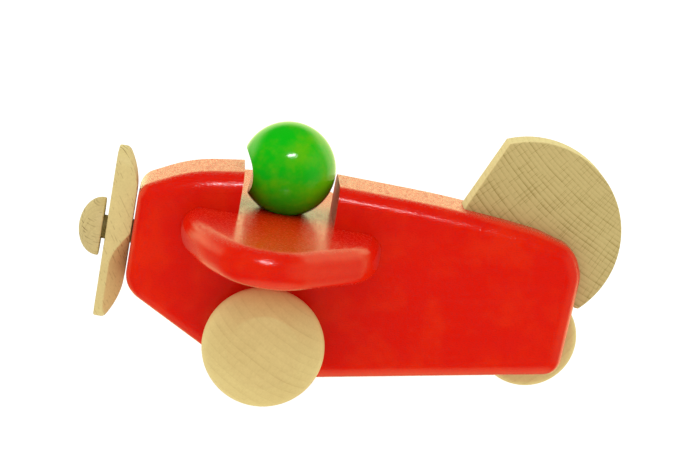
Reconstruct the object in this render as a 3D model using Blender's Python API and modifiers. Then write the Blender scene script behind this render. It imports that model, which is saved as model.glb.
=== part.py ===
"""Solid-wood toy aeroplane: a carved red fuselage with a short wing, a beech tail fin,
a green ball for the pilot's head, a turning propeller, two front wheels and a tail wheel.

Nose towards -X, tail towards +X, +Z up, floor at Z = 0. Metres.
"""
import math

import bmesh
import bpy
from mathutils import Matrix, Vector

GAP = 0.0003                      # between pieces that touch
TILT = math.radians(9.9)          # nose-up slope of the wing and of the propeller shaft

# Fuselage block: side outline as (x, z, corner radius), clockwise from the chin
BODY_THICKNESS = 0.030
BODY_ROUNDING = 0.0059
BODY_OUTLINE = (
    (-0.0711, 0.0353, 0.009),
    (-0.0655, 0.0675, 0.0060),
    (-0.0502, 0.0721, 0.044),
    (-0.0288, 0.0720, 0.135),
    (0.0280, 0.0602, 0.300),
    (0.0486, 0.0547, 0.060),
    (0.0590, 0.0514, 0.020),
    (0.0700, 0.0459, 0.009),
    (0.0721, 0.0375, 0.010),
    (0.0654, 0.0054, 0.0060),
    (-0.0332, 0.0054, 0.0060),
)

# Tilted frame of the nose: its origin is on the shaft axis at the propeller's front face,
# "along" runs back down the shaft axis and "above" is square to it
SHAFT_POINT = Vector((-0.0762, 0.0, 0.0524))

# Wing: a plank through the fuselage with a half-round rim. Its plan in the tilted frame, from the
# leading edge on the centre line round one tip to the trailing edge, as (along, side, corner radius)
WING_TOP = 0.0142                 # above the shaft axis
WING_THICKNESS = 0.0116
WING_PLAN = (
    (0.0226, 0.0, 0.0),
    (0.0226, 0.0396, 0.058),
    (0.0465, 0.0732, 0.0174),
    (0.0827, 0.0354, 0.024),
    (0.0862, 0.0, 0.0),
)
WING_ROUNDING = 0.0055

# Cockpit notch and pilot's head
NOTCH_FRONT = 0.0393
NOTCH_REAR = 0.0691
NOTCH_BELOW_WING = 0.00003        # the floor is planed a hair below the wing's top
HEAD_RADIUS = 0.0149
HEAD_ALONG = 0.0529
HEAD_ABOVE = 0.0276
HOLLOW_RADIUS = 0.0142
HOLLOW_AHEAD = 0.0253             # axis of the hollow, ahead of the head's centre

# Nose
SHAFT_RADIUS = 0.00375
SHAFT_BORE_DEPTH = 0.020
PROPELLER_LENGTH = 0.0543
PROPELLER_BELOW_SHAFT = 0.0009    # the slat's middle, below the shaft that it turns on
PROPELLER_FRONT = -0.00025        # along the shaft
PROPELLER_BACK = 0.0075
PROPELLER_WIDTH = 0.016
PROPELLER_TO_NOSE = 0.0005
BLADE_TIP = 0.0025                # back of the blades' ends, along the shaft
BLADE_END_RADIUS = 0.0055         # of the ends' corners, seen from the front
BLADE_SHOULDER = 0.0209           # where the back turns to the ends, from the hub
BLADE_SHOULDER_RADIUS = 0.019
BLADE_EDGE = 0.0023               # thin edge that the blade's bevel leaves
BLADE_BEVEL_FOOT = 0.0070         # where the bevel starts to rise to the back, from the hub
BLADE_BEVEL_RISE = math.radians(27.5)
BLADE_BEVEL_RADIUS = 0.014
CAP_GAP = 0.0016
CAP_RADIUS = 0.0092
CAP_DEPTH = 0.0074
CAP_RIM = 0.0008                  # straight side below the dome
CAP_CHAMFER = 0.0003
CAP_BORE_DEPTH = 0.004

# Tail fin
FIN_THICKNESS = 0.010
FIN_CENTRE = Vector((0.05595, 0.0, 0.04993))
FIN_RADIUS = 0.0295
FIN_LEAN = math.radians(55.7)     # leading edge, from the horizontal
FIN_LEAD_DISTANCE = 0.0214        # leading edge, from the disc's centre
FIN_FOOT = ((0.0721, 0.0255), (0.0710, 0.0256), (0.0615, 0.0405), (0.0294, 0.0456))
FIN_EDGE = 0.0006

# Wheels
FRONT_WHEEL_RADIUS = 0.019
FRONT_WHEEL_THICKNESS = 0.014
FRONT_WHEEL_FLAT = 0.0103
FRONT_WHEEL_CREASE = math.radians(35.0)
FRONT_WHEEL_X = -0.0279
FRONT_WHEEL_TO_BODY = 0.0006
FRONT_AXLE_RADIUS = 0.003
FRONT_AXLE_IN_WHEEL = 0.008
TAIL_WHEEL_RADIUS = 0.016
TAIL_WHEEL_THICKNESS = 0.010
TAIL_WHEEL_FLAT = 0.0142
TAIL_WHEEL_ROUNDING = 0.0018
TAIL_WHEEL_X = 0.0560
TAIL_SLOT_CLEARANCE = 0.0008
TAIL_AXLE_RADIUS = 0.0025
TAIL_AXLE_IN_CHEEK = 0.006

TURN_STEPS = 40
ARC_STEP = math.radians(9.0)
FLAT = math.radians(0.2)          # faces that meet at less than this are one flat face
FAR = 0.1                         # past the end of anything that is cut


def clear_scene():
    for item in list(bpy.data.objects):
        bpy.data.objects.remove(item, do_unlink=True)


def new_collection(name):
    collection = bpy.data.collections.new(name)
    bpy.context.scene.collection.children.link(collection)
    return collection


def material(name, colour, roughness, coat=0.0):
    made = bpy.data.materials.new(name)
    made.use_nodes = True
    shader = made.node_tree.nodes["Principled BSDF"]
    shader.inputs["Base Color"].default_value = (*colour, 1.0)
    shader.inputs["Roughness"].default_value = roughness
    shader.inputs["Metallic"].default_value = 0.0
    shader.inputs["Coat Weight"].default_value = coat
    return made


def tilted_frame(along=0.0, above=0.0, side=0.0):
    """Matrix of a frame on the propeller shaft, tilted with the shaft and the wing."""
    tilt = Matrix.Rotation(TILT, 4, "Y")
    return Matrix.Translation(SHAFT_POINT) @ tilt @ Matrix.Translation((along, side, above))


def rounded_outline(corners):
    """Points of a closed outline whose corners (x, y, radius) are rounded by arcs."""
    points = []
    count = len(corners)
    for index, (x, y, radius) in enumerate(corners):
        corner = Vector((x, y))
        before = Vector(corners[index - 1][:2]) - corner
        after = Vector(corners[(index + 1) % count][:2]) - corner
        if radius == 0.0:
            points.append(corner)
            continue
        half = before.angle(after) / 2.0
        centre = corner + (before.normalized() + after.normalized()).normalized() * radius / math.sin(half)
        start = corner + before.normalized() * radius / math.tan(half) - centre
        turn = math.pi - 2.0 * half
        turn = turn if before.cross(after) < 0.0 else -turn
        steps = max(2, math.ceil(abs(turn) / ARC_STEP))
        for step in range(steps + 1):
            points.append(centre + Matrix.Rotation(turn * step / steps, 2) @ start)
    return points


def link_mesh(name, mesh, collection, matrix=None):
    made = bpy.data.objects.new(name, mesh)
    if matrix is not None:
        made.matrix_world = matrix
    collection.objects.link(made)
    return made


def evaluated_copy(source, name, collection):
    """A mesh object with the source's modifiers or curve fill applied, flat areas as single faces."""
    bpy.context.view_layer.update()
    graph = bpy.context.evaluated_depsgraph_get()
    mesh = bpy.data.meshes.new_from_object(source.evaluated_get(graph))
    build = bmesh.new()
    build.from_mesh(mesh)
    bmesh.ops.remove_doubles(build, verts=build.verts, dist=0.000002)
    bmesh.ops.dissolve_limit(build, angle_limit=FLAT, verts=build.verts, edges=build.edges)
    build.to_mesh(mesh)
    build.free()
    matrix = source.matrix_world.copy()
    bpy.data.objects.remove(source, do_unlink=True)
    return link_mesh(name, mesh, collection, matrix)


def slab(name, points, half_thickness, collection, matrix):
    """A flat outline given thickness along the frame's own Z axis."""
    curve = bpy.data.curves.new(name, "CURVE")
    curve.dimensions = "2D"
    curve.fill_mode = "BOTH"
    curve.extrude = half_thickness
    spline = curve.splines.new("POLY")
    spline.points.add(len(points) - 1)
    for place, point in zip(spline.points, points):
        place.co = (point[0], point[1], 0.0, 1.0)
    spline.use_cyclic_u = True
    outline = bpy.data.objects.new(name + "_outline", curve)
    outline.matrix_world = matrix
    collection.objects.link(outline)
    return evaluated_copy(outline, name, collection)


def upright(matrix=None):
    """Turns a flat outline's (x, y) into the side view's (x, z)."""
    stand = Matrix.Rotation(math.pi / 2.0, 4, "X")
    return stand if matrix is None else matrix @ stand


def rod(name, radius, start, end, collection, matrix):
    """A cylinder along the frame's own Z axis."""
    mesh = bpy.data.meshes.new(name)
    build = bmesh.new()
    bmesh.ops.create_cone(build, cap_ends=True, segments=TURN_STEPS, radius1=radius, radius2=radius,
                          depth=end - start, matrix=Matrix.Translation((0.0, 0.0, (start + end) / 2.0)))
    build.to_mesh(mesh)
    build.free()
    mesh.shade_smooth()
    mesh.set_sharp_from_angle(angle=math.radians(40.0))
    return link_mesh(name, mesh, collection, matrix)


def ball(name, radius, collection, matrix):
    mesh = bpy.data.meshes.new(name)
    build = bmesh.new()
    bmesh.ops.create_uvsphere(build, u_segments=TURN_STEPS, v_segments=24, radius=radius)
    build.to_mesh(mesh)
    build.free()
    mesh.shade_smooth()
    return link_mesh(name, mesh, collection, matrix)


def block(name, low, high, collection, matrix):
    low = Vector(low)
    high = Vector(high)
    mesh = bpy.data.meshes.new(name)
    build = bmesh.new()
    size = Matrix.Diagonal((*(high - low), 1.0))
    bmesh.ops.create_cube(build, size=1.0, matrix=Matrix.Translation((low + high) / 2.0) @ size)
    build.to_mesh(mesh)
    build.free()
    return link_mesh(name, mesh, collection, matrix)


def turned(name, profile, collection, matrix):
    """A turned piece: its profile (radius, height) runs down the outer side and is screwed round."""
    mesh = bpy.data.meshes.new(name)
    build = bmesh.new()
    spots = [build.verts.new((radius, 0.0, height)) for radius, height in profile]
    for first, second in zip(spots, spots[1:]):
        build.edges.new((first, second))
    build.to_mesh(mesh)
    build.free()
    outline = link_mesh(name + "_profile", mesh, collection, matrix)
    screw = outline.modifiers.new("Turn", "SCREW")
    screw.steps = TURN_STEPS
    screw.render_steps = TURN_STEPS
    screw.use_merge_vertices = True
    screw.merge_threshold = 0.00005
    made = evaluated_copy(outline, name, collection)
    made.data.shade_smooth()
    made.data.set_sharp_from_angle(angle=math.radians(40.0))
    return made


def quarter(radius_in, radius_out, height_from, height_to, steps=7, crease=0.0):
    """Points of an elliptic curve from the flat face out to the rim. It leaves the face smoothly,
    or in a crease where it starts that many radians into the quarter ellipse."""
    reach = (radius_out - radius_in) / (1.0 - math.sin(crease))
    rise = (height_from - height_to) / math.cos(crease)
    points = []
    for step in range(steps + 1):
        angle = crease + (math.pi / 2.0 - crease) * step / steps
        points.append((radius_out - reach * (1.0 - math.sin(angle)), height_to + rise * math.cos(angle)))
    return points


def bevel(piece, width, segments, angle=40.0):
    modifier = piece.modifiers.new("Rounded edges", "BEVEL")
    modifier.width = width
    modifier.segments = segments
    modifier.limit_method = "ANGLE"
    modifier.angle_limit = math.radians(angle)
    modifier.use_clamp_overlap = False
    return modifier


def combine(piece, other, operation):
    modifier = piece.modifiers.new(other.name, "BOOLEAN")
    modifier.operation = operation
    modifier.object = other
    other.hide_render = True
    other.display_type = "WIRE"


def make_fuselage(parts, cutters):
    block_shape = slab("block", rounded_outline(BODY_OUTLINE), BODY_THICKNESS / 2.0, parts, upright())
    bevel(block_shape, BODY_ROUNDING, 4)

    far_side = [(along, -side, radius) for along, side, radius in reversed(WING_PLAN[1:-1])]
    wing_corners = WING_PLAN + tuple(far_side)
    wing_middle = tilted_frame(above=WING_TOP - WING_THICKNESS / 2.0)
    wing = slab("wing", rounded_outline(wing_corners), WING_THICKNESS / 2.0, cutters, wing_middle)
    bevel(wing, WING_ROUNDING, 6)
    combine(block_shape, wing, "UNION")
    fuselage = evaluated_copy(block_shape, "fuselage", parts)
    fuselage.data.transform(fuselage.matrix_world)
    fuselage.matrix_world = Matrix.Identity(4)

    notch_low = (NOTCH_FRONT, -BODY_THICKNESS, WING_TOP - NOTCH_BELOW_WING)
    notch_high = (NOTCH_REAR, BODY_THICKNESS, FAR)
    notch = block("notch", notch_low, notch_high, cutters, tilted_frame())
    seat = ball("head_seat", HEAD_RADIUS + GAP, cutters, tilted_frame(HEAD_ALONG, HEAD_ABOVE))

    shaft_end = PROPELLER_BACK + PROPELLER_TO_NOSE + SHAFT_BORE_DEPTH
    nose_bore = rod("nose_bore", SHAFT_RADIUS + GAP, 0.0, shaft_end, cutters, along_shaft())
    axle_bore = rod("front_axle_bore", FRONT_AXLE_RADIUS + GAP, -FAR, FAR, cutters, front_axle_frame())

    fin_slot = make_fin_shape("fin_slot", FIN_THICKNESS / 2.0 + GAP, GAP, cutters)
    slot_half = TAIL_WHEEL_THICKNESS / 2.0 + TAIL_SLOT_CLEARANCE
    wheel_slot = rod("tail_wheel_slot", TAIL_WHEEL_RADIUS + TAIL_SLOT_CLEARANCE, -slot_half, slot_half,
                     cutters, tail_axle_frame())
    pin_bore = rod("tail_axle_bore", TAIL_AXLE_RADIUS + GAP, -(slot_half + TAIL_AXLE_IN_CHEEK + GAP), FAR,
                   cutters, tail_axle_frame())
    for cutter in (notch, seat, nose_bore, axle_bore, fin_slot, wheel_slot, pin_bore):
        combine(fuselage, cutter, "DIFFERENCE")
    fuselage.data.shade_smooth()
    fuselage.data.set_sharp_from_angle(angle=math.radians(30.0))
    return fuselage


def along_shaft():
    """Frame whose Z axis runs back down the propeller shaft."""
    return tilted_frame() @ Matrix.Rotation(math.pi / 2.0, 4, "Y")


def front_axle_frame():
    place = Matrix.Translation((FRONT_WHEEL_X, 0.0, FRONT_WHEEL_RADIUS))
    return place @ Matrix.Rotation(-math.pi / 2.0, 4, "X")


def tail_axle_frame():
    place = Matrix.Translation((TAIL_WHEEL_X, 0.0, TAIL_WHEEL_RADIUS))
    return place @ Matrix.Rotation(-math.pi / 2.0, 4, "X")


def make_fin_shape(name, half_thickness, margin, collection):
    """Disc cut by its straight leading edge and by its foot, with a margin all round."""
    centre = Vector((FIN_CENTRE.x, FIN_CENTRE.z))
    radius = FIN_RADIUS + margin
    lead_normal = math.pi / 2.0 + FIN_LEAN
    half_chord = math.acos((FIN_LEAD_DISTANCE + margin) / radius)
    first = lead_normal - half_chord
    tip = Vector(FIN_FOOT[0])
    last = math.atan2(tip.y - centre.y, tip.x - centre.x) - margin / radius
    steps = math.ceil((first - last) / ARC_STEP)
    points = []
    for step in range(steps + 1):
        angle = first + (last - first) * step / steps
        points.append(centre + radius * Vector((math.cos(angle), math.sin(angle))))
    for x, z in FIN_FOOT[1:]:
        points.append(Vector((x, z - margin)))
    lower = lead_normal + half_chord
    points.append(centre + radius * Vector((math.cos(lower), math.sin(lower))))
    return slab(name, points, half_thickness, collection, upright())


def make_tail_fin(parts):
    fin = make_fin_shape("tail_fin", FIN_THICKNESS / 2.0, 0.0, parts)
    bevel(fin, FIN_EDGE, 2)
    return fin


def make_pilot_head(parts, cutters):
    place = tilted_frame(HEAD_ALONG, HEAD_ABOVE)
    head = ball("pilot_head", HEAD_RADIUS, parts, Matrix.Translation(place.translation))
    hollow_place = Matrix.Translation(place.translation + Vector((-HOLLOW_AHEAD, 0.0, 0.0)))
    hollow_place = hollow_place @ Matrix.Rotation(math.pi / 2.0, 4, "X")
    hollow = rod("head_hollow", HOLLOW_RADIUS, -HEAD_RADIUS * 2.0, HEAD_RADIUS * 2.0, cutters, hollow_place)
    combine(head, hollow, "DIFFERENCE")
    return head


def make_nose(parts):
    cap_back = -CAP_GAP
    shaft_start = cap_back - CAP_BORE_DEPTH + GAP
    shaft_end = PROPELLER_BACK + PROPELLER_TO_NOSE + SHAFT_BORE_DEPTH - GAP
    shaft = rod("nose_shaft", SHAFT_RADIUS, shaft_start, shaft_end, parts, along_shaft())

    dome = quarter(0.0, CAP_RADIUS, CAP_DEPTH, CAP_RIM, 9)
    bore = SHAFT_RADIUS + GAP
    profile = dome + [(CAP_RADIUS - CAP_CHAMFER, 0.0), (bore, 0.0)]
    profile += [(bore, CAP_BORE_DEPTH), (0.0, CAP_BORE_DEPTH)]
    cap_frame = along_shaft() @ Matrix.Translation((0.0, 0.0, cap_back)) @ Matrix.Rotation(math.pi, 4, "X")
    cap = turned("nose_cap", profile, parts, cap_frame)
    return shaft, cap


def make_propeller(parts, cutters):
    half = PROPELLER_LENGTH / 2.0
    back = PROPELLER_BACK
    side_corners = (
        (PROPELLER_FRONT, half, 0.0010),
        (BLADE_TIP, half, 0.0010),
        (back, BLADE_SHOULDER, BLADE_SHOULDER_RADIUS),
        (back, -BLADE_SHOULDER, BLADE_SHOULDER_RADIUS),
        (BLADE_TIP, -half, 0.0010),
        (PROPELLER_FRONT, -half, 0.0010),
    )
    half_width = PROPELLER_WIDTH / 2.0
    middle = tilted_frame(above=-PROPELLER_BELOW_SHAFT)
    slat = slab("propeller", rounded_outline(side_corners), half_width, parts, upright(middle))
    front_corners = [(z, y, BLADE_END_RADIUS) for z, y in
                     ((-half, -half_width), (-half, half_width), (half, half_width), (half, -half_width))]
    facing = middle @ Matrix.Rotation(math.pi / 2.0, 4, "Y")
    ends = slab("blade_ends", rounded_outline(front_corners), back * 2.0, cutters, facing)
    combine(slat, ends, "INTERSECT")

    slope = math.atan((back - BLADE_EDGE) / PROPELLER_WIDTH)
    bevel_top = back * 3.0
    bevel_corners = (
        (BLADE_EDGE, -FAR, 0.0),
        (BLADE_EDGE, -BLADE_BEVEL_FOOT, BLADE_BEVEL_RADIUS),
        (BLADE_EDGE + (bevel_top + BLADE_BEVEL_FOOT) * math.tan(BLADE_BEVEL_RISE), bevel_top, 0.0),
        (FAR, bevel_top, 0.0),
        (FAR, -FAR, 0.0),
    )
    for index in range(2):
        half_turn = Matrix.Rotation(math.pi * index, 4, "X")
        hinge_line = Matrix.Translation((BLADE_EDGE, -half_width, 0.0))
        slant = hinge_line @ Matrix.Rotation(-slope, 4, "Z") @ hinge_line.inverted()
        frame = upright(tilted_frame() @ half_turn @ slant)
        cutter = slab(f"blade_bevel_{index}", rounded_outline(bevel_corners), half_width * 4.0, cutters, frame)
        combine(slat, cutter, "DIFFERENCE")
    hole = rod("propeller_bore", SHAFT_RADIUS + GAP, -FAR, FAR, cutters, along_shaft())
    combine(slat, hole, "DIFFERENCE")
    return slat


def make_front_wheel(name, radius, thickness, flat, bore_radius, bore_depth, parts, matrix):
    """Turned wheel: both faces roll over into the rim, and the bore opens on the inner face."""
    half = thickness / 2.0
    outer = quarter(flat, radius, half, 0.0, crease=FRONT_WHEEL_CREASE)
    inner = [(r, -h) for r, h in reversed(outer)]
    profile = [(0.0, half)] + outer + inner[1:] + [(bore_radius, -half)]
    profile += [(bore_radius, bore_depth - half), (0.0, bore_depth - half)]
    return turned(name, profile, parts, matrix)


def make_front_wheels(parts):
    inner_face = BODY_THICKNESS / 2.0 + FRONT_WHEEL_TO_BODY
    middle = inner_face + FRONT_WHEEL_THICKNESS / 2.0
    axle_end = inner_face + FRONT_AXLE_IN_WHEEL - GAP
    made = [rod("front_axle", FRONT_AXLE_RADIUS, -axle_end, axle_end, parts, front_axle_frame())]
    for name, turn, side in (("front_wheel_near", math.pi, -1.0), ("front_wheel_far", 0.0, 1.0)):
        place = front_axle_frame() @ Matrix.Translation((0.0, 0.0, side * middle))
        place = place @ Matrix.Rotation(turn, 4, "X")
        made.append(make_front_wheel(name, FRONT_WHEEL_RADIUS, FRONT_WHEEL_THICKNESS, FRONT_WHEEL_FLAT,
                                     FRONT_AXLE_RADIUS + GAP, FRONT_AXLE_IN_WHEEL, parts, place))
    return made


def make_tail_wheel(parts):
    half = TAIL_WHEEL_THICKNESS / 2.0
    bore = TAIL_AXLE_RADIUS + GAP
    outer = quarter(TAIL_WHEEL_FLAT, TAIL_WHEEL_RADIUS, half, half - TAIL_WHEEL_ROUNDING, 4)
    inner = [(r, -h) for r, h in reversed(outer)]
    profile = [(bore, half)] + outer + inner + [(bore, -half), (bore, half)]
    wheel = turned("tail_wheel", profile, parts, tail_axle_frame())
    blind_end = -(half + TAIL_SLOT_CLEARANCE + TAIL_AXLE_IN_CHEEK)
    open_end = BODY_THICKNESS / 2.0 - GAP
    pin = rod("tail_axle", TAIL_AXLE_RADIUS, blind_end, open_end, parts, tail_axle_frame())
    return wheel, pin


def main():
    clear_scene()
    parts = new_collection("toy_aeroplane")
    cutters = new_collection("cutters")
    red = material("Red lacquered beech", (0.62, 0.018, 0.002), 0.25, 0.5)
    green = material("Green lacquered beech", (0.01, 0.30, 0.01), 0.25, 0.5)
    beech = material("Plain beech", (0.62, 0.45, 0.22), 0.55)
    axle_beech = material("Dowel beech", (0.50, 0.34, 0.17), 0.6)

    shaft, cap = make_nose(parts)
    tail_wheel, tail_axle = make_tail_wheel(parts)
    front_axle, near_wheel, far_wheel = make_front_wheels(parts)
    finishes = {
        red: (make_fuselage(parts, cutters),),
        green: (make_pilot_head(parts, cutters),),
        beech: (make_tail_fin(parts), make_propeller(parts, cutters), cap, near_wheel, far_wheel, tail_wheel),
        axle_beech: (shaft, front_axle, tail_axle),
    }
    for finish, pieces in finishes.items():
        for piece in pieces:
            piece.data.materials.clear()
            piece.data.materials.append(finish)


main()
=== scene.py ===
"""Looks of the solid-wood toy aeroplane: finely shaped pieces, their lacquer and beech,
the studio round them and the camera. Metres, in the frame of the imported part."""
import math

import bmesh
import bpy
from mathutils import Matrix, Vector


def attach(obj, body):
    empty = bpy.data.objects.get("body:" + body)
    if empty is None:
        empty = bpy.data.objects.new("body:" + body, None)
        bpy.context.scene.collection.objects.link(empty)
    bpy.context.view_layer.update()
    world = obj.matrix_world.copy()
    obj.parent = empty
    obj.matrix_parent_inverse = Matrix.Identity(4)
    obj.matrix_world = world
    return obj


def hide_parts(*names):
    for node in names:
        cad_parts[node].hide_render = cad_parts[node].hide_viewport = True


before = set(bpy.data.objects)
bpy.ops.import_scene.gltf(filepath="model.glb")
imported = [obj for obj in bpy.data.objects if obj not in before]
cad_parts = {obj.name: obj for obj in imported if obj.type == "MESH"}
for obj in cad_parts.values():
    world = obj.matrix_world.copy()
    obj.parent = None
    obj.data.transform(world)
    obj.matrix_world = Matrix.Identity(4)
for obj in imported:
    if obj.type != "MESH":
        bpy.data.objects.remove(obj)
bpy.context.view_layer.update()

# Tilted frame of the nose: its origin is on the shaft axis at the propeller's front face,
# X runs back down the shaft and Z is square to it
TILT = math.radians(9.9)
SHAFT_POINT = Vector((-0.0762, 0.0, 0.0524))

# Fuselage block: side outline as (x, z, corner radius), clockwise from the chin
BODY_HALF = 0.015
BODY_ROUNDING = 0.0059
BODY_ROUNDING_STEPS = 12
BODY_OUTLINE = (
    (-0.0711, 0.0353, 0.009),
    (-0.0655, 0.0675, 0.0060),
    (-0.0502, 0.0721, 0.044),
    (-0.0288, 0.0720, 0.135),
    (0.0280, 0.0602, 0.300),
    (0.0486, 0.0547, 0.060),
    (0.0590, 0.0514, 0.020),
    (0.0700, 0.0459, 0.009),
    (0.0721, 0.0375, 0.010),
    (0.0654, 0.0054, 0.0060),
    (-0.0332, 0.0054, 0.0060),
)

# Wing: plan in the tilted frame as (along, side, corner radius), and its half-round rim
WING_TOP = 0.0142
WING_THICKNESS = 0.0116
WING_PLAN = (
    (0.0226, 0.0, 0.0),
    (0.0226, 0.0396, 0.058),
    (0.0465, 0.0732, 0.0174),
    (0.0827, 0.0354, 0.024),
    (0.0862, 0.0, 0.0),
    (0.0827, -0.0354, 0.024),
    (0.0465, -0.0732, 0.0174),
    (0.0226, -0.0396, 0.058),
)
WING_ROUNDING = 0.0055
WING_ROUNDING_STEPS = 14

# Cockpit notch, pilot's head and the shallow seat that it is glued into
NOTCH_FRONT = 0.0393
NOTCH_REAR = 0.0691
NOTCH_HALF = 0.022
HEAD_CENTRE_ALONG = 0.0529
HEAD_CENTRE_ABOVE = 0.0276
HEAD_RADIUS = 0.0149
HOLLOW_RADIUS = 0.0142
HOLLOW_AHEAD = 0.0253
SEAT_GAP = 0.00008
SEAT_OVERLAP = 0.0005

# Nose
SHAFT_RADIUS = 0.00375
NOSE_BORE_DEPTH = 0.0280
PROPELLER_LENGTH = 0.0543
PROPELLER_BELOW_SHAFT = 0.0009
PROPELLER_FRONT = -0.00025
PROPELLER_BACK = 0.0075
PROPELLER_WIDTH = 0.016
BLADE_TIP = 0.0025
BLADE_END_RADIUS = 0.0055
BLADE_END_EDGE = 0.0010
BLADE_SHOULDER = 0.0209
BLADE_SHOULDER_RADIUS = 0.019
BLADE_EDGE = 0.0023
BLADE_SLOPE = math.radians(36.0)
BLADE_BEVEL_FOOT = 0.0070
BLADE_BEVEL_RISE = math.radians(27.5)
BLADE_BEVEL_RADIUS = 0.014
CAP_BACK = -0.0016
CAP_RADIUS = 0.0092
CAP_DEPTH = 0.0074
CAP_RIM = 0.0008
CAP_CHAMFER = 0.0003
CAP_BORE_DEPTH = 0.004

# Tail fin
FIN_HALF = 0.005
FIN_CENTRE = Vector((0.05595, 0.04993))
FIN_RADIUS = 0.0295
FIN_LEAN = math.radians(55.7)
FIN_LEAD_DISTANCE = 0.0214
FIN_FOOT = ((0.0721, 0.0255), (0.0710, 0.0256), (0.0615, 0.0405), (0.0294, 0.0456))
FIN_EDGE = 0.0006
FIN_SLOT_GAP = 0.00012

# Wheels
FRONT_WHEEL_RADIUS = 0.019
FRONT_WHEEL_HALF = 0.007
FRONT_WHEEL_FLAT = 0.0110
FRONT_WHEEL_CREASE = math.radians(40.0)
FRONT_AXLE_RADIUS = 0.003
FRONT_AXLE_IN_WHEEL = 0.008
FRONT_AXLE = Vector((-0.0279, 0.0, 0.019))
FRONT_WHEEL_OUT = 0.0226
TAIL_WHEEL_RADIUS = 0.016
TAIL_WHEEL_HALF = 0.005
TAIL_WHEEL_FLAT = 0.0142
TAIL_WHEEL_ROUNDING = 0.0018
TAIL_AXLE_RADIUS = 0.0025
TAIL_AXLE_IN_CHEEK = 0.006
TAIL_AXLE = Vector((0.056, 0.0, 0.016))
TAIL_SLOT_CLEARANCE = 0.0008
BORE_GAP = 0.0003

# Finishing: the rounding of cut edges, and the mesh and smoothing passes of sanded pieces
SOFTENED_EDGE = 0.00025
SANDING_MESH = 0.00025
HEAD_SANDING = 4
PROPELLER_SANDING = 5
SHARP = math.radians(32.0)

# Fineness of arcs and turned shapes, tolerances, and a length past every edge of the toy
ARC_STEP = math.radians(4.0)
TURN_STEPS = 128
DOME_STEPS = 18
SMALL_ROUND_STEPS = 8
SAME_SPOT = 0.000005
CUT_MERGE = 0.000002
FLAT_ANGLE = math.radians(0.05)
RIM_ANGLE = math.radians(60.0)
FAR = 0.1


def tilted(along=0.0, above=0.0):
    """Matrix of a frame on the propeller shaft, tilted with the shaft and the wing."""
    place = Matrix.Translation(SHAFT_POINT) @ Matrix.Rotation(TILT, 4, "Y")
    return place @ Matrix.Translation((along, 0.0, above))


def upright(place=None):
    """Turns a flat outline's (x, y) into the side view's (x, z)."""
    stand = Matrix.Rotation(math.pi / 2.0, 4, "X")
    return stand if place is None else place @ stand


def down_shaft(offset=0.0):
    """Frame whose Z axis runs back down the propeller shaft."""
    return tilted(along=offset) @ Matrix.Rotation(math.pi / 2.0, 4, "Y")


def across(point):
    """Frame whose Z axis runs across the toy, towards +Y."""
    return Matrix.Translation(point) @ Matrix.Rotation(-math.pi / 2.0, 4, "X")


def rounded_face(build, corners, height=0.0):
    """Flat face whose corners (x, y, radius) are rounded: a tangent point is spun into each arc."""
    ends = []
    count = len(corners)
    for index, (x, y, radius) in enumerate(corners):
        corner = Vector((x, y, height))
        before = (Vector((*corners[index - 1][:2], height)) - corner).normalized()
        after = (Vector((*corners[(index + 1) % count][:2], height)) - corner).normalized()
        if radius == 0.0:
            spot = build.verts.new(corner)
            ends.append((spot, spot))
            continue
        half = before.angle(after) / 2.0
        centre = corner + (before + after).normalized() * radius / math.sin(half)
        first = build.verts.new(corner + before * radius / math.tan(half))
        turn = math.pi - 2.0 * half
        turn = turn if before.cross(after).z < 0.0 else -turn
        arc = bmesh.ops.spin(build, geom=[first], cent=centre, axis=(0.0, 0.0, 1.0), angle=turn,
                             steps=max(3, math.ceil(abs(turn) / ARC_STEP)), use_duplicate=False)
        last = next(item for item in arc["geom_last"] if isinstance(item, bmesh.types.BMVert))
        ends.append((first, last))
    for index in range(count):
        build.edges.new((ends[index - 1][1], ends[index][0]))
    return bmesh.ops.contextual_create(build, geom=build.edges[:])["faces"][0]


def thicken(build, face, rise):
    """Extrudes a flat face straight up or down its own Z axis into a closed slab."""
    grown = bmesh.ops.extrude_face_region(build, geom=[face])["geom"]
    spots = [item for item in grown if isinstance(item, bmesh.types.BMVert)]
    bmesh.ops.translate(build, verts=spots, vec=(0.0, 0.0, rise))
    bmesh.ops.recalc_face_normals(build, faces=build.faces[:])


def round_edges(build, edges, width, segments, clamp=False):
    bmesh.ops.bevel(build, geom=edges, offset=width, offset_type="OFFSET", segments=segments,
                    profile=0.5, affect="EDGES", clamp_overlap=clamp, material=-1)


def rim_edges(build):
    """Edges where a slab's two flat faces meet its sides."""
    return [edge for edge in build.edges if edge.calc_face_angle(0.0) > RIM_ANGLE
            and any(abs(face.normal.z) > 0.99 for face in edge.link_faces)]


def slab(corners, low, high, edge=0.0, segments=4, place=None):
    """Flat outline from height low to height high, with its two rims rounded."""
    build = bmesh.new()
    thicken(build, rounded_face(build, corners, low), high - low)
    if edge > 0.0:
        round_edges(build, rim_edges(build), edge, segments)
    if place is not None:
        bmesh.ops.transform(build, matrix=place, verts=build.verts)
    return build


def rod(radius, start, end, place):
    build = bmesh.new()
    middle = Matrix.Translation((0.0, 0.0, (start + end) / 2.0))
    bmesh.ops.create_cone(build, cap_ends=True, segments=TURN_STEPS, radius1=radius, radius2=radius,
                          depth=end - start, matrix=place @ middle)
    return build


def ball(radius, place):
    build = bmesh.new()
    bmesh.ops.create_uvsphere(build, u_segments=TURN_STEPS, v_segments=TURN_STEPS // 2, radius=radius,
                              matrix=place)
    return build


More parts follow.
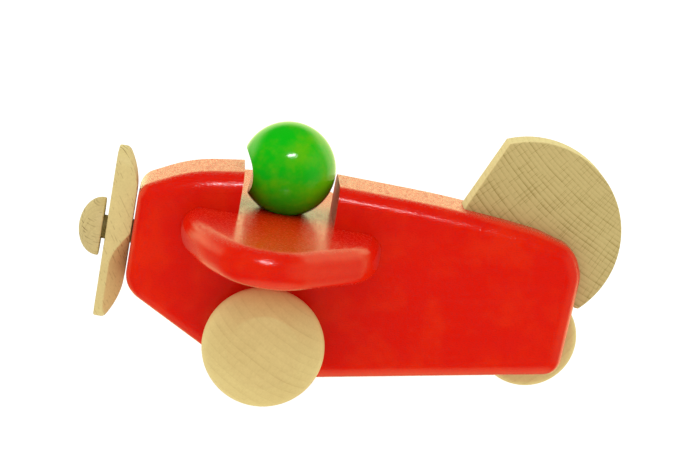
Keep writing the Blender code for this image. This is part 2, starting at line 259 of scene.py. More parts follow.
def quarter_curve(build, radius_in, radius_out, height_rim, height_top, steps=DOME_STEPS, crease=0.0):
    """Elliptic curve from the flat face's edge out to the rim: a spun arc, squashed. It leaves the
    face smoothly, or in a crease where it starts that many radians into the quarter."""
    first = build.verts.new((math.sin(crease), 0.0, math.cos(crease)))
    before = set(build.verts[:]) - {first}
    arc = bmesh.ops.spin(build, geom=[first], cent=(0.0, 0.0, 0.0), axis=(0.0, 1.0, 0.0),
                         angle=math.pi / 2.0 - crease, steps=steps, use_duplicate=False)
    last = next(item for item in arc["geom_last"] if isinstance(item, bmesh.types.BMVert))
    spots = [spot for spot in build.verts if spot not in before]
    reach = (radius_out - radius_in) / (1.0 - math.sin(crease))
    rise = (height_top - height_rim) / math.cos(crease)
    bmesh.ops.scale(build, verts=spots, vec=(reach, 1.0, rise))
    bmesh.ops.translate(build, verts=spots, vec=(radius_out - reach, 0.0, height_rim))
    return first, last


def path(build, start, points, end=None):
    """Straight edges from one profile vertex through (radius, height) points, to another vertex."""
    spot = start
    for radius, height in points:
        following = build.verts.new((radius, 0.0, height))
        build.edges.new((spot, following))
        spot = following
    if end is not None:
        build.edges.new((spot, end))
    return spot


def turn_round(build, place):
    """Spins a profile in the XZ plane once round Z and closes it."""
    bmesh.ops.spin(build, geom=build.verts[:] + build.edges[:], cent=(0.0, 0.0, 0.0),
                   axis=(0.0, 0.0, 1.0), angle=2.0 * math.pi, steps=TURN_STEPS, use_merge=True,
                   use_duplicate=False)
    bmesh.ops.remove_doubles(build, verts=build.verts, dist=SAME_SPOT)
    bmesh.ops.recalc_face_normals(build, faces=build.faces[:])
    bmesh.ops.transform(build, matrix=place, verts=build.verts)


def to_object(build, name):
    mesh = bpy.data.meshes.new(name)
    build.to_mesh(mesh)
    build.free()
    made = bpy.data.objects.new(name, mesh)
    bpy.context.scene.collection.objects.link(made)
    return made


def settle(made):
    """Applies a shape's modifiers and returns the result as a bmesh."""
    bpy.context.view_layer.update()
    graph = bpy.context.evaluated_depsgraph_get()
    mesh = bpy.data.meshes.new_from_object(made.evaluated_get(graph))
    build = bmesh.new()
    build.from_mesh(mesh)
    bpy.data.meshes.remove(mesh)
    bpy.data.objects.remove(made, do_unlink=True)
    return build


def carve(build, operation, *others):
    """Joins or cuts one shape with others, and merges what comes out flat."""
    base = to_object(build, "carving")
    helpers = [to_object(other, "carving_tool") for other in others]
    for helper in helpers:
        modifier = base.modifiers.new("Carve", "BOOLEAN")
        modifier.operation = operation
        modifier.object = helper
    result = settle(base)
    for helper in helpers:
        bpy.data.objects.remove(helper, do_unlink=True)
    bmesh.ops.remove_doubles(result, verts=result.verts, dist=CUT_MERGE)
    bmesh.ops.dissolve_limit(result, angle_limit=FLAT_ANGLE, verts=result.verts, edges=result.edges)
    return result


def soften_sharp(build):
    """Small rounding on every outward edge that a tool left sharp."""
    edges = [edge for edge in build.edges
             if edge.is_manifold and edge.is_convex and edge.calc_face_angle() > SHARP]
    round_edges(build, edges, SOFTENED_EDGE, 2, clamp=True)


def sanded(build, passes):
    """Even fine mesh of a carved shape, smoothed so that its edges come out sanded."""
    made = to_object(build, "sanding")
    remesh = made.modifiers.new("Even mesh", "REMESH")
    remesh.mode = "VOXEL"
    remesh.voxel_size = SANDING_MESH
    smooth = made.modifiers.new("Sanding", "SMOOTH")
    smooth.factor = 0.5
    smooth.iterations = passes
    return settle(made)


def piece(build, name, body, finish, weighted=True):
    """Turns a finished shape into a piece that stands for the CAD node of the same name."""
    made = to_object(build, name + "_finished")
    made.data.shade_smooth()
    made.data.set_sharp_from_angle(angle=SHARP)
    if weighted:
        modifier = made.modifiers.new("Flat faces stay flat", "WEIGHTED_NORMAL")
        modifier.keep_sharp = True
        modifier.weight = 80
    made.data.materials.append(finish)
    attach(made, body)
    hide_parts(name)
    return made


def fin_corners(margin=0.0):
    """Outline of the tail fin: an arc, its straight leading edge and its foot in the slot."""
    radius = FIN_RADIUS + margin
    lead_normal = math.pi / 2.0 + FIN_LEAN
    half_chord = math.acos((FIN_LEAD_DISTANCE + margin) / radius)
    first = lead_normal - half_chord
    tip = Vector(FIN_FOOT[0]) - FIN_CENTRE
    last = math.atan2(tip.y, tip.x) - margin / radius
    steps = math.ceil((first - last) / ARC_STEP)
    angles = [first + (last - first) * step / steps for step in range(steps + 1)]
    angles.append(lead_normal + half_chord)
    arc = [FIN_CENTRE + radius * Vector((math.cos(angle), math.sin(angle))) for angle in angles]
    foot = [Vector((x, z - margin)) for x, z in FIN_FOOT[1:]]
    return [(x, z, 0.0) for x, z in arc[:-1] + foot + arc[-1:]]


def fuselage_shape():
    to_wing = tilted().inverted()
    block = slab(BODY_OUTLINE, -BODY_HALF, BODY_HALF, BODY_ROUNDING, BODY_ROUNDING_STEPS,
                 to_wing @ upright())
    wing = slab(WING_PLAN, WING_TOP, WING_TOP - WING_THICKNESS, WING_ROUNDING, WING_ROUNDING_STEPS)
    body = carve(block, "UNION", wing)

    notch_corners = ((NOTCH_FRONT, -NOTCH_HALF, 0.0), (NOTCH_REAR, -NOTCH_HALF, 0.0),
                     (NOTCH_REAR, NOTCH_HALF, 0.0), (NOTCH_FRONT, NOTCH_HALF, 0.0))
    notch = slab(notch_corners, WING_TOP, FAR)
    seat = ball(HEAD_RADIUS + SEAT_GAP, Matrix.Translation((HEAD_CENTRE_ALONG, 0.0, HEAD_CENTRE_ABOVE)))
    seat = carve(seat, "INTERSECT", slab(notch_corners, 0.0, WING_TOP + SEAT_OVERLAP))
    nose_bore = rod(SHAFT_RADIUS + BORE_GAP, 0.0, NOSE_BORE_DEPTH, to_wing @ down_shaft())
    axle_bore = rod(FRONT_AXLE_RADIUS + BORE_GAP, -FAR, FAR, to_wing @ across(FRONT_AXLE))
    fin_half = FIN_HALF + FIN_SLOT_GAP
    fin_slot = slab(fin_corners(FIN_SLOT_GAP), -fin_half, fin_half, place=to_wing @ upright())
    slot_half = TAIL_WHEEL_HALF + TAIL_SLOT_CLEARANCE
    wheel_slot = rod(TAIL_WHEEL_RADIUS + TAIL_SLOT_CLEARANCE, -slot_half, slot_half,
                     to_wing @ across(TAIL_AXLE))
    pin_bore = rod(TAIL_AXLE_RADIUS + BORE_GAP, -(slot_half + TAIL_AXLE_IN_CHEEK + BORE_GAP), FAR,
                   to_wing @ across(TAIL_AXLE))
    body = carve(body, "DIFFERENCE", notch, seat, nose_bore, axle_bore, fin_slot, wheel_slot, pin_bore)
    soften_sharp(body)
    bmesh.ops.transform(body, matrix=tilted(), verts=body.verts)
    return body


def head_shape():
    place = tilted(HEAD_CENTRE_ALONG, HEAD_CENTRE_ABOVE)
    centre = place.translation
    hollow = rod(HOLLOW_RADIUS, -FAR, FAR, across(centre + Vector((-HOLLOW_AHEAD, 0.0, 0.0))))
    carved = carve(ball(HEAD_RADIUS, Matrix.Translation(centre)), "DIFFERENCE", hollow)
    return sanded(carved, HEAD_SANDING)


def fin_shape():
    return slab(fin_corners(), -FIN_HALF, FIN_HALF, FIN_EDGE, 4, upright())


def propeller_shape():
    half = PROPELLER_LENGTH / 2.0
    half_width = PROPELLER_WIDTH / 2.0
    back = PROPELLER_BACK
    middle = tilted(above=-PROPELLER_BELOW_SHAFT)
    side_corners = (
        (PROPELLER_FRONT, half, BLADE_END_EDGE),
        (BLADE_TIP, half, BLADE_END_EDGE),
        (back, BLADE_SHOULDER, BLADE_SHOULDER_RADIUS),
        (back, -BLADE_SHOULDER, BLADE_SHOULDER_RADIUS),
        (BLADE_TIP, -half, BLADE_END_EDGE),
        (PROPELLER_FRONT, -half, BLADE_END_EDGE),
    )
    front_corners = [(z, y, BLADE_END_RADIUS) for z, y in
                     ((-half, -half_width), (-half, half_width), (half, half_width), (half, -half_width))]
    slat = slab(side_corners, -half_width, half_width, place=upright(middle))
    facing = middle @ Matrix.Rotation(math.pi / 2.0, 4, "Y")
    slat = carve(slat, "INTERSECT", slab(front_corners, -2.0 * back, 2.0 * back, place=facing))
    bevel_top = back * 3.0
    bevel_back = BLADE_EDGE + (bevel_top + BLADE_BEVEL_FOOT) * math.tan(BLADE_BEVEL_RISE)
    bevel_corners = (
        (BLADE_EDGE, -FAR, 0.0),
        (BLADE_EDGE, -BLADE_BEVEL_FOOT, BLADE_BEVEL_RADIUS),
        (bevel_back, bevel_top, 0.0),
        (FAR, bevel_top, 0.0),
        (FAR, -FAR, 0.0),
    )
    cutters = [rod(SHAFT_RADIUS + BORE_GAP, -FAR, FAR, down_shaft())]
    for index in range(2):
        hinge_line = Matrix.Translation((BLADE_EDGE, -half_width, 0.0))
        slant = hinge_line @ Matrix.Rotation(-BLADE_SLOPE, 4, "Z") @ hinge_line.inverted()
        place = tilted() @ Matrix.Rotation(math.pi * index, 4, "X") @ slant
        cutters.append(slab(bevel_corners, -2.0 * PROPELLER_WIDTH, 2.0 * PROPELLER_WIDTH,
                            place=upright(place)))
    return sanded(carve(slat, "DIFFERENCE", *cutters), PROPELLER_SANDING)


def cap_shape():
    build = bmesh.new()
    rim = quarter_curve(build, 0.0, CAP_RADIUS, CAP_RIM, CAP_DEPTH)[1]
    bore = SHAFT_RADIUS + BORE_GAP
    path(build, rim, ((CAP_RADIUS, CAP_CHAMFER), (CAP_RADIUS - CAP_CHAMFER, 0.0), (bore, 0.0),
                      (bore, CAP_BORE_DEPTH), (0.0, CAP_BORE_DEPTH)))
    turn_round(build, down_shaft(CAP_BACK) @ Matrix.Rotation(math.pi, 4, "X"))
    return build


def front_wheel_shape(side):
    """Both faces roll over into the rim, and the axle's bore opens on the inner face."""
    build = bmesh.new()
    half = FRONT_WHEEL_HALF
    size = (FRONT_WHEEL_FLAT, FRONT_WHEEL_RADIUS, 0.0)
    outer_top, outer_rim = quarter_curve(build, *size, half, crease=FRONT_WHEEL_CREASE)
    inner_top, inner_rim = quarter_curve(build, *size, -half, crease=FRONT_WHEEL_CREASE)
    bmesh.ops.remove_doubles(build, verts=[outer_rim, inner_rim], dist=SAME_SPOT)
    path(build, outer_top, ((0.0, half),))
    bore = FRONT_AXLE_RADIUS + BORE_GAP
    floor = FRONT_AXLE_IN_WHEEL - half
    path(build, inner_top, ((bore, -half), (bore, floor), (0.0, floor)))
    place = across(FRONT_AXLE + Vector((0.0, side * FRONT_WHEEL_OUT, 0.0)))
    if side < 0.0:
        place = place @ Matrix.Rotation(math.pi, 4, "X")
    turn_round(build, place)
    return build


def tail_wheel_shape():
    build = bmesh.new()
    half = TAIL_WHEEL_HALF
    rim = half - TAIL_WHEEL_ROUNDING
    bore = TAIL_AXLE_RADIUS + BORE_GAP
    size = (TAIL_WHEEL_FLAT, TAIL_WHEEL_RADIUS)
    near_top, near_rim = quarter_curve(build, *size, rim, half, SMALL_ROUND_STEPS)
    far_top, far_rim = quarter_curve(build, *size, -rim, -half, SMALL_ROUND_STEPS)
    build.edges.new((near_rim, far_rim))
    path(build, near_top, ((bore, half), (bore, -half)), far_top)
    turn_round(build, across(TAIL_AXLE))
    return build


def node(tree, kind, location=(0, 0), **settings):
    made = tree.nodes.new(kind)
    made.location = location
    for name, value in settings.items():
        setattr(made, name, value)
    return made


def math_node(tree, operation, first, second=None, third=None):
    made = node(tree, "ShaderNodeMath", operation=operation)
    for socket, value in zip(made.inputs, (first, second, third)):
        if value is None:
            continue
        if isinstance(value, (int, float)):
            socket.default_value = value
        else:
            tree.links.new(value, socket)
    return made.outputs[0]


def ramp(tree, value, low, high, to_low=0.0, to_high=1.0):
    """Value from low to high, eased, as a number from to_low to to_high."""
    made = node(tree, "ShaderNodeMapRange", interpolation_type="SMOOTHSTEP")
    tree.links.new(value, made.inputs["Value"])
    for name, number in (("From Min", low), ("From Max", high), ("To Min", to_low), ("To Max", to_high)):
        made.inputs[name].default_value = number
    return made.outputs["Result"]


def noise(tree, vector, scale, detail=2.0, roughness=0.5):
    made = node(tree, "ShaderNodeTexNoise")
    tree.links.new(vector, made.inputs["Vector"])
    made.inputs["Scale"].default_value = scale
    made.inputs["Detail"].default_value = detail
    made.inputs["Roughness"].default_value = roughness
    return made.outputs["Fac"]


def scaled(tree, vector, x, y, z):
    made = node(tree, "ShaderNodeVectorMath", operation="MULTIPLY")
    tree.links.new(vector, made.inputs[0])
    made.inputs[1].default_value = (x, y, z)
    return made.outputs["Vector"]


def blend_colours(tree, share, first, second):
    made = node(tree, "ShaderNodeMix", data_type="RGBA", clamp_factor=False)
    share_socket, first_socket, second_socket = made.inputs["Factor"], made.inputs[6], made.inputs[7]
    for socket, value in ((share_socket, share), (first_socket, first), (second_socket, second)):
        if isinstance(value, (tuple, float)):
            socket.default_value = value
        else:
            tree.links.new(value, socket)
    return made.outputs[2]


def new_group(name, inputs, outputs):
    """Shader node group with named sockets. Each input is (name, kind, default value)."""
    group = bpy.data.node_groups.new(name, "ShaderNodeTree")
    for title, kind, value in inputs:
        socket = group.interface.new_socket(title, in_out="INPUT", socket_type="NodeSocket" + kind)
        if value is not None:
            socket.default_value = value
    for title, kind in outputs:
        group.interface.new_socket(title, in_out="OUTPUT", socket_type="NodeSocket" + kind)
    return group, node(group, "NodeGroupInput"), node(group, "NodeGroupOutput")


def ray_lines(group, from_pith, angle, z, count):
    """Thin dark lines that run straight out from the pith, each for a length of its own."""
    turned = math_node(group, "MULTIPLY", angle, count)
    cell = math_node(group, "FLOOR", turned)
    spot = node(group, "ShaderNodeTexWhiteNoise", noise_dimensions="1D")
    group.links.new(cell, spot.inputs["W"])
    across_ray = math_node(group, "SUBTRACT", math_node(group, "FRACT", turned),
                           math_node(group, "MULTIPLY_ADD", spot.outputs["Value"], 0.6, 0.2))
    line = ramp(group, math_node(group, "ABSOLUTE", across_ray), 0.05, 0.20, 1.0, 0.0)
    along_ray = node(group, "ShaderNodeCombineXYZ")
    group.links.new(math_node(group, "MULTIPLY", from_pith, 150.0), along_ray.inputs[0])
    group.links.new(math_node(group, "MULTIPLY", cell, 3.7), along_ray.inputs[1])
    group.links.new(math_node(group, "MULTIPLY", z, 400.0), along_ray.inputs[2])
    there = ramp(group, noise(group, along_ray.outputs[0], 1.0, 1.0), 0.50, 0.62)
    return math_node(group, "MULTIPLY", line, there)


WOOD_OUTPUTS = (("Colour", "Color"), ("Roughness", "Float"), ("Height", "Float"))


def beech_grain_group():
    """Beech in the tree's own frame: Z runs up the trunk and the pith is the Z axis.
    Rings are dark late-wood lines, and rays are thin sheets that run out from the pith."""
    inputs = (("Vector", "Vector", None), ("Normal", "Vector", None), ("Ring spacing", "Float", 0.0017),
              ("Crowding", "Float", 0.0), ("Ring lines", "Float", 0.5), ("Rays", "Float", 0.5),
              ("Ray count", "Float", 150.0), ("Blotches", "Float", 0.3), ("Pale sides", "Float", 0.0),
              ("Light wood", "Color", (0.6, 0.45, 0.2, 1.0)),
              ("Dark wood", "Color", (0.35, 0.22, 0.07, 1.0)))
    group, given, result = new_group("Beech grain", inputs, WOOD_OUTPUTS)
    place = given.outputs["Vector"]
    split = node(group, "ShaderNodeSeparateXYZ")
    group.links.new(place, split.inputs[0])
    x, y, z = split.outputs
    squares = math_node(group, "MULTIPLY_ADD", x, x, math_node(group, "MULTIPLY", y, y))
    from_pith = math_node(group, "SQRT", squares)
    angle = math_node(group, "ARCTAN2", y, x)

    # Growth rings wander a little and can crowd towards the pith. Each darkens slowly and ends at once
    wander = math_node(group, "SUBTRACT", noise(group, place, 38.0, 1.0), 0.5)
    rings_at = math_node(group, "MULTIPLY_ADD", wander, 0.0022, from_pith)
    crowding = math_node(group, "MULTIPLY", rings_at, given.outputs["Crowding"])
    rings_at = math_node(group, "MULTIPLY", rings_at, math_node(group, "SUBTRACT", 1.0, crowding))
    ring = math_node(group, "DIVIDE", rings_at, given.outputs["Ring spacing"])
    phase = math_node(group, "FRACT", ring)
    late = ramp(group, phase, 0.35, 0.93, 0.0, 0.55)
    late = math_node(group, "ADD", late, ramp(group, phase, 0.80, 0.93, 0.0, 0.45))
    late = math_node(group, "ADD", late, ramp(group, phase, 0.94, 1.0, 0.0, -1.0))
    strength = node(group, "ShaderNodeTexWhiteNoise", noise_dimensions="1D")
    group.links.new(math_node(group, "FLOOR", ring), strength.inputs["W"])
    uneven = math_node(group, "MULTIPLY_ADD", strength.outputs["Value"], 0.8, 0.4)
    broken = ramp(group, noise(group, place, 210.0, 2.0), 0.30, 0.60, 0.45, 1.0)
    rings = math_node(group, "MULTIPLY", math_node(group, "MULTIPLY", late, broken), uneven)
    rings = math_node(group, "MULTIPLY", rings, given.outputs["Ring lines"])

    rays = math_node(group, "MULTIPLY", ray_lines(group, from_pith, angle, z, given.outputs["Ray count"]),
                     given.outputs["Rays"])

    # Blotches and fine fibres
    blotch = math_node(group, "SUBTRACT", noise(group, place, 90.0, 4.0, 0.6), 0.5)
    blotches = math_node(group, "MULTIPLY", blotch, given.outputs["Blotches"])
    fibre = math_node(group, "SUBTRACT", noise(group, place, 1400.0, 2.0), 0.5)
    fibres = math_node(group, "MULTIPLY", fibre, 0.35)

    # Faces that run along the trunk show weaker lines, and can be paler
    facing = node(group, "ShaderNodeSeparateXYZ")
    group.links.new(given.outputs["Normal"], facing.inputs[0])
    side_grain = ramp(group, math_node(group, "ABSOLUTE", facing.outputs["Z"]), 0.45, 0.90, 1.0, 0.0)
    lines = math_node(group, "MULTIPLY", math_node(group, "ADD", rings, rays),
                      math_node(group, "MULTIPLY_ADD", side_grain, -0.65, 1.0))
    paler = math_node(group, "MULTIPLY", side_grain, given.outputs["Pale sides"])
    lines = math_node(group, "SUBTRACT", lines, paler)

    # Dark wood is a little rougher and lower than light wood
    dark = math_node(group, "ADD", lines, math_node(group, "ADD", blotches, fibres))
    dark = math_node(group, "MAXIMUM", math_node(group, "MINIMUM", dark, 1.0), -0.8)
    colour = blend_colours(group, dark, given.outputs["Light wood"], given.outputs["Dark wood"])
    group.links.new(colour, result.inputs["Colour"])
    group.links.new(math_node(group, "MULTIPLY_ADD", dark, 0.12, 0.56), result.inputs["Roughness"])
    group.links.new(math_node(group, "MULTIPLY", dark, -0.5), result.inputs["Height"])
    return group


def lacquer_group():
    """Stained and lacquered wood: uneven stain, pores and a film that isn't quite level. In the
    pattern's own frame pores are deepest on faces across Z, and end grain across X is duller."""
    inputs = (("Vector", "Vector", None), ("Normal", "Vector", None),
              ("Stain", "Color", (0.7, 0.02, 0.0, 1.0)), ("Thin stain", "Color", (0.8, 0.05, 0.0, 1.0)),
              ("Thin places", "Float", 0.5), ("Pores", "Float", 0.3), ("End grain", "Float", 0.0))
    group, given, result = new_group("Lacquer over wood", inputs, WOOD_OUTPUTS)
    place = given.outputs["Vector"]

    # Stain, thinner in cloudy places and darker in the pores
    cloud = noise(group, place, 70.0, 5.0, 0.65)
    thin = math_node(group, "MULTIPLY", ramp(group, cloud, 0.42, 0.68), given.outputs["Thin places"])
    colour = blend_colours(group, thin, given.outputs["Stain"], given.outputs["Thin stain"])
    pores = ramp(group, noise(group, scaled(group, place, 0.5, 1.0, 1.0), 2600.0, 1.0), 0.50, 0.64)
    pores = math_node(group, "MULTIPLY", pores, given.outputs["Pores"])
    darkened = node(group, "ShaderNodeHueSaturation")
    group.links.new(colour, darkened.inputs["Color"])
    group.links.new(math_node(group, "MULTIPLY_ADD", pores, -0.15, 1.0), darkened.inputs["Value"])
    group.links.new(darkened.outputs[0], result.inputs["Colour"])

    # Gloss, duller at the pores, along faint streaks and on end grain
    streaks = noise(group, scaled(group, place, 0.12, 1.0, 1.0), 900.0, 2.0)
    facing = node(group, "ShaderNodeSeparateXYZ")
    group.links.new(given.outputs["Normal"], facing.inputs[0])
    end_grain = ramp(group, math_node(group, "ABSOLUTE", facing.outputs["X"]), 0.85, 0.97)
    open_grain = ramp(group, math_node(group, "ABSOLUTE", facing.outputs["Z"]), 0.75, 0.97)
    pore_dullness = math_node(group, "MULTIPLY_ADD", open_grain, 0.35, 0.18)
    end_dullness = math_node(group, "MULTIPLY", end_grain, given.outputs["End grain"])
    dull = math_node(group, "MULTIPLY_ADD", pores, pore_dullness, 0.06)
    dull = math_node(group, "ADD", dull, end_dullness)
    group.links.new(math_node(group, "MULTIPLY_ADD", streaks, 0.08, dull), result.inputs["Roughness"])

    # Relief of the film, with the pores sunk into it
    level = math_node(group, "MULTIPLY_ADD", streaks, 0.4, noise(group, place, 2200.0, 2.0, 0.6))
    depth = math_node(group, "MULTIPLY", pores, math_node(group, "MULTIPLY_ADD", open_grain, 1.3, 0.4))
    group.links.new(math_node(group, "SUBTRACT", level, depth), result.inputs["Height"])
    return group


BEECH_GRAIN = beech_grain_group()
LACQUER = lacquer_group()


def finish_material(name, group, values, location, turn, bump):
    """Principled finish fed by a wood group, whose pattern is placed by Mapping nodes."""
    made = bpy.data.materials.new(name)
    made.use_nodes = True
    tree = made.node_tree
    shader = tree.nodes["Principled BSDF"]
    place = node(tree, "ShaderNodeTexCoord", (-900, 0))
    mapping = node(tree, "ShaderNodeMapping", (-700, 0), vector_type="TEXTURE")
    mapping.inputs["Location"].default_value = location
    mapping.inputs["Rotation"].default_value = turn
    wood = node(tree, "ShaderNodeGroup", (-450, 0), node_tree=group)
    for title, value in values.items():
        wood.inputs[title].default_value = value
    relief = node(tree, "ShaderNodeBump", (-200, -200))
    relief.inputs["Strength"].default_value = 1.0
    relief.inputs["Distance"].default_value = bump
    tree.links.new(place.outputs["Object"], mapping.inputs["Vector"])
    tree.links.new(mapping.outputs["Vector"], wood.inputs["Vector"])
    facing = node(tree, "ShaderNodeMapping", (-700, -250), vector_type="TEXTURE")
    facing.inputs["Rotation"].default_value = turn
    tree.links.new(place.outputs["Normal"], facing.inputs["Vector"])
    tree.links.new(facing.outputs["Vector"], wood.inputs["Normal"])
    tree.links.new(wood.outputs["Colour"], shader.inputs["Base Color"])
    tree.links.new(wood.outputs["Roughness"], shader.inputs["Roughness"])
    tree.links.new(wood.outputs["Height"], relief.inputs["Height"])
    tree.links.new(relief.outputs["Normal"], shader.inputs["Normal"])
    return made


# Depth of each finish's relief
RED_RELIEF = 0.00004
GREEN_RELIEF = 0.00002
BEECH_RELIEF = 0.00004


def beech(name, pith, turn, ring_spacing=0.0017, crowding=0.0, ring_lines=0.5, rays=0.5, ray_count=150.0,
          blotches=0.3, pale=0.0, light=(0.60, 0.45, 0.17), dark=(0.34, 0.22, 0.06)):
    """Plain beech. The pith is a point on the trunk's axis, and turn lays the trunk along that axis."""
    values = {
        "Ring spacing": ring_spacing, "Crowding": crowding, "Ring lines": ring_lines,
        "Rays": rays, "Ray count": ray_count, "Blotches": blotches, "Pale sides": pale,
        "Light wood": (*light, 1.0), "Dark wood": (*dark, 1.0),
    }
    return finish_material(name, BEECH_GRAIN, values, pith, turn, BEECH_RELIEF)


# Turns of the wood patterns
UNTURNED = (0.0, 0.0, 0.0)
TRUNK_ACROSS = (math.pi / 2.0, 0.0, 0.0)
TRUNK_ALONG = (0.0, math.pi / 2.0, 0.0)
TRUNK_DOWN_SHAFT = (0.0, math.pi / 2.0 + TILT, 0.0)

RED_LACQUER = finish_material(
    "Red lacquer", LACQUER,
    {"Stain": (0.71, 0.0060, 0.0002, 1.0), "Thin stain": (0.78, 0.022, 0.001, 1.0),
     "Thin places": 0.6, "Pores": 0.6, "End grain": 0.4},
    (0.0, 0.0, 0.0), UNTURNED, RED_RELIEF)
GREEN_LACQUER = finish_material(
    "Green lacquer", LACQUER,
    {"Stain": (0.003, 0.47, 0.004, 1.0), "Thin stain": (0.13, 0.48, 0.002, 1.0),
     "Thin places": 0.8, "Pores": 0.15},
    (0.011, 0.004, 0.0), (0.0, math.radians(70.0), 0.0), GREEN_RELIEF)
FIN_BEECH = beech(
    "Fin beech", (0.139, 0.0, 0.133), TRUNK_ACROSS, ring_spacing=0.00072, crowding=2.54,
    ring_lines=0.95, rays=0.65, ray_count=170.0, blotches=0.2, pale=0.75,
    light=(0.56, 0.435, 0.155), dark=(0.33, 0.24, 0.05))
SLAT_BEECH = beech(
    "Slat beech", (-0.10, 0.12, 0.05), (0.0, math.radians(157.0), 0.0),
    ring_lines=0.15, rays=1.0, ray_count=120.0, blotches=0.25, light=(0.70, 0.56, 0.215))
CAP_BEECH = beech(
    "Turned beech", (-0.03, 0.045, 0.060), TRUNK_DOWN_SHAFT,
    ring_lines=0.35, rays=1.0, ray_count=55.0, blotches=0.3,
    light=(0.60, 0.46, 0.18), dark=(0.20, 0.12, 0.02))
WHEEL_BEECH = beech(
    "Wheel beech", (0.012, 0.0, 0.068), TRUNK_ACROSS, ring_spacing=0.0026,
    ring_lines=0.25, rays=0.1, blotches=0.5, pale=0.3,
    light=(0.70, 0.54, 0.195), dark=(0.42, 0.26, 0.06))
# Dowels: beech painted darker and more olive than the other beech. This is painted shade, matched to the
# shaft where it shows in shade between cap and propeller.
SHADE_DARKENED_DOWEL_BEECH = beech(
    "Dowel beech", (0.0, 0.03, 0.03), TRUNK_ALONG,
    ring_lines=0.4, rays=0.4, light=(0.50, 0.38, 0.08), dark=(0.26, 0.17, 0.03))


def make_pieces():
    piece(fuselage_shape(), "fuselage", "airframe", RED_LACQUER)
    piece(head_shape(), "pilot_head", "airframe", GREEN_LACQUER, weighted=False)
    piece(fin_shape(), "tail_fin", "airframe", FIN_BEECH)
    piece(propeller_shape(), "propeller", "propeller", SLAT_BEECH, weighted=False)
    piece(cap_shape(), "nose_cap", "airframe", CAP_BEECH)
    for side, name in ((-1.0, "front_wheel_near"), (1.0, "front_wheel_far")):
        piece(front_wheel_shape(side), name, "front_wheels", WHEEL_BEECH)
    piece(tail_wheel_shape(), "tail_wheel", "tail_wheel", WHEEL_BEECH)
    for name in ("nose_shaft", "front_axle", "tail_axle"):
        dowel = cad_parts[name]
        dowel.data.materials.clear()
        dowel.data.materials.append(SHADE_DARKENED_DOWEL_BEECH)


# Camera: it looks along +Y, turned a little towards +X and pitched down. Lens and sensor are in mm
CAMERA_PLACE = Vector((-0.031616, -0.72, 0.213733))
CAMERA_YAW = math.radians(2.511)
CAMERA_PITCH = math.radians(12.664)
CAMERA_LENS = 120.43
SENSOR_WIDTH = 36.0
NEAREST_SEEN = 0.01


def make_camera():
    data = bpy.data.cameras.new("Camera")
    data.lens = CAMERA_LENS
    data.sensor_width = SENSOR_WIDTH
    data.clip_start = NEAREST_SEEN
    camera = bpy.data.objects.new("Camera", data)
    camera.location = CAMERA_PLACE
    camera.rotation_euler = (math.pi / 2.0 - CAMERA_PITCH, 0.0, -CAMERA_YAW)
    bpy.context.scene.collection.objects.link(camera)
    bpy.context.scene.camera = camera


# Lights: the glint shows in gloss alone, and the overhead one on dull surfaces alone
LIGHT_TARGET = Vector((0.0, 0.0, 0.05))
GLINT_DIRECTION = Vector((0.0957, -0.7078, 0.6986))
GLINT_DISTANCE = 0.8
GLINT_SIZE = (0.24, 0.05)
GLINT_POWER = 1.8
OVERHEAD_DIRECTION = Vector((-0.2, -0.4, 1.0))
OVERHEAD_DISTANCE = 1.2
OVERHEAD_SIZE = (1.1, 1.1)
OVERHEAD_POWER = 3.0

# Surroundings: brightness and tint of what gloss reflects, the diffuse light's lower end, and the
# white that the camera sees
BACKDROP_GLOW = 1.62
LOW_LEFT_SHARE = 0.2
RIGHT_GLOW = 0.45
CARD_DIRECTION = Vector((0.97, -0.07, 0.225))
CARD_INNER = math.radians(9.0)
CARD_OUTER = math.radians(19.0)
CARD_GLOW = 0.45
FLOOR_GLOW = 0.8
ROOM_GLOW = 0.02
GLOW_TINT = (1.0, 0.98, 0.50)
FILL_FROM_BELOW = 0.78
WHITE_SURROUND = (1.1, 1.1, 1.1, 1.0)


def area_light(name, direction, distance, size, power, glossy=True, diffuse=True):
    data = bpy.data.lights.new(name, "AREA")
    data.shape = "RECTANGLE"
    data.size, data.size_y = size
    data.energy = power
    lamp = bpy.data.objects.new(name, data)
    lamp.location = LIGHT_TARGET + direction.normalized() * distance
    lamp.rotation_euler = direction.to_track_quat("Z", "Y").to_euler()
    lamp.visible_glossy = glossy
    lamp.visible_diffuse = diffuse
    bpy.context.scene.collection.objects.link(lamp)


def make_lights():
    area_light("Glint", GLINT_DIRECTION, GLINT_DISTANCE, GLINT_SIZE, GLINT_POWER, diffuse=False)
    area_light("Overhead", OVERHEAD_DIRECTION, OVERHEAD_DISTANCE, OVERHEAD_SIZE, OVERHEAD_POWER,
               glossy=False)


def near_direction(tree, towards, inner, outer):
    """1 for directions within the inner angle of one direction, 0 past the outer angle."""
    place = node(tree, "ShaderNodeTexCoord")
    product = node(tree, "ShaderNodeVectorMath", operation="DOT_PRODUCT")
    tree.links.new(place.outputs["Generated"], product.inputs[0])
    product.inputs[1].default_value = towards.normalized()
    return ramp(tree, product.outputs["Value"], math.cos(outer), math.cos(inner))


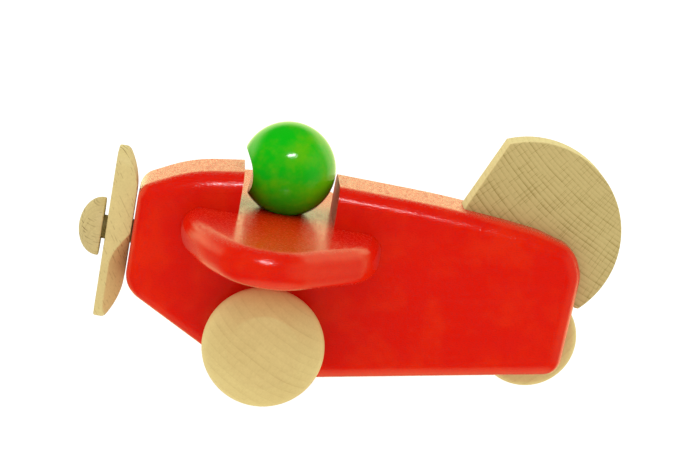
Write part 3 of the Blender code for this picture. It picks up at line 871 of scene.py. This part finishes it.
def make_world():
    """White studio for diffuse light. Gloss reflects a cream backdrop behind, darker low at the left,
    a dim one with a small card at the right, the floor right below, and darkness in front."""
    world = bpy.data.worlds.new("Studio")
    world.use_nodes = True
    world.cycles.sampling_method = "NONE"
    bpy.context.scene.world = world
    tree = world.node_tree
    tree.nodes.clear()
    place = node(tree, "ShaderNodeTexCoord")
    split = node(tree, "ShaderNodeSeparateXYZ")
    tree.links.new(place.outputs["Generated"], split.inputs[0])
    x, y, z = split.outputs
    behind = ramp(tree, y, 0.05, 0.50, 0.0, BACKDROP_GLOW)
    low_left = ramp(tree, x, -0.95, -0.40, LOW_LEFT_SHARE, 1.0)
    low_left = math_node(tree, "MAXIMUM", low_left, ramp(tree, z, 0.0, 0.35))
    behind = math_node(tree, "MULTIPLY", behind, low_left)
    right = ramp(tree, x, 0.45, 0.95, 0.0, RIGHT_GLOW)
    backdrop = math_node(tree, "MAXIMUM", behind, right)
    backdrop = math_node(tree, "MULTIPLY", backdrop, ramp(tree, z, 0.40, 0.75, 1.0, 0.03))
    backdrop = math_node(tree, "MULTIPLY", backdrop, ramp(tree, z, -0.75, -0.35, 0.2, 1.0))
    card = near_direction(tree, CARD_DIRECTION, CARD_INNER, CARD_OUTER)
    below = ramp(tree, z, -0.97, -0.75, FLOOR_GLOW, 0.0)
    seen_in_gloss = math_node(tree, "MAXIMUM", backdrop, math_node(tree, "MULTIPLY", card, CARD_GLOW))
    seen_in_gloss = math_node(tree, "MAXIMUM", seen_in_gloss, below)
    seen_in_gloss = math_node(tree, "ADD", seen_in_gloss, ROOM_GLOW)
    cream = node(tree, "ShaderNodeVectorMath", operation="SCALE")
    cream.inputs[0].default_value = GLOW_TINT
    tree.links.new(seen_in_gloss, cream.inputs["Scale"])
    fill = node(tree, "ShaderNodeCombineXYZ")
    for socket in fill.inputs:
        tree.links.new(ramp(tree, z, -0.2, 1.0, FILL_FROM_BELOW, 1.0), socket)
    rays = node(tree, "ShaderNodeLightPath")
    lit = blend_colours(tree, rays.outputs["Is Glossy Ray"], fill.outputs[0], cream.outputs[0])
    shown = blend_colours(tree, rays.outputs["Is Camera Ray"], lit, WHITE_SURROUND)
    background = node(tree, "ShaderNodeBackground")
    output = node(tree, "ShaderNodeOutputWorld")
    tree.links.new(shown, background.inputs["Color"])
    tree.links.new(background.outputs[0], output.inputs["Surface"])


FLOOR_HALF = 6.0


def make_floor():
    build = bmesh.new()
    bmesh.ops.create_grid(build, x_segments=1, y_segments=1, size=FLOOR_HALF)
    floor = to_object(build, "floor")
    made = bpy.data.materials.new("White sweep")
    made.use_nodes = True
    shader = made.node_tree.nodes["Principled BSDF"]
    shader.inputs["Base Color"].default_value = (0.2, 0.2, 0.2, 1.0)
    shader.inputs["Roughness"].default_value = 0.9
    shader.inputs["Specular IOR Level"].default_value = 0.0
    shader.inputs["Emission Color"].default_value = (1.0, 1.0, 1.0, 1.0)
    shader.inputs["Emission Strength"].default_value = 1.0
    made.cycles.emission_sampling = "NONE"
    floor.data.materials.append(made)
    floor.visible_glossy = False


bpy.context.scene.view_settings.view_transform = "Standard"
make_camera()
make_pieces()
make_lights()
make_world()
make_floor()
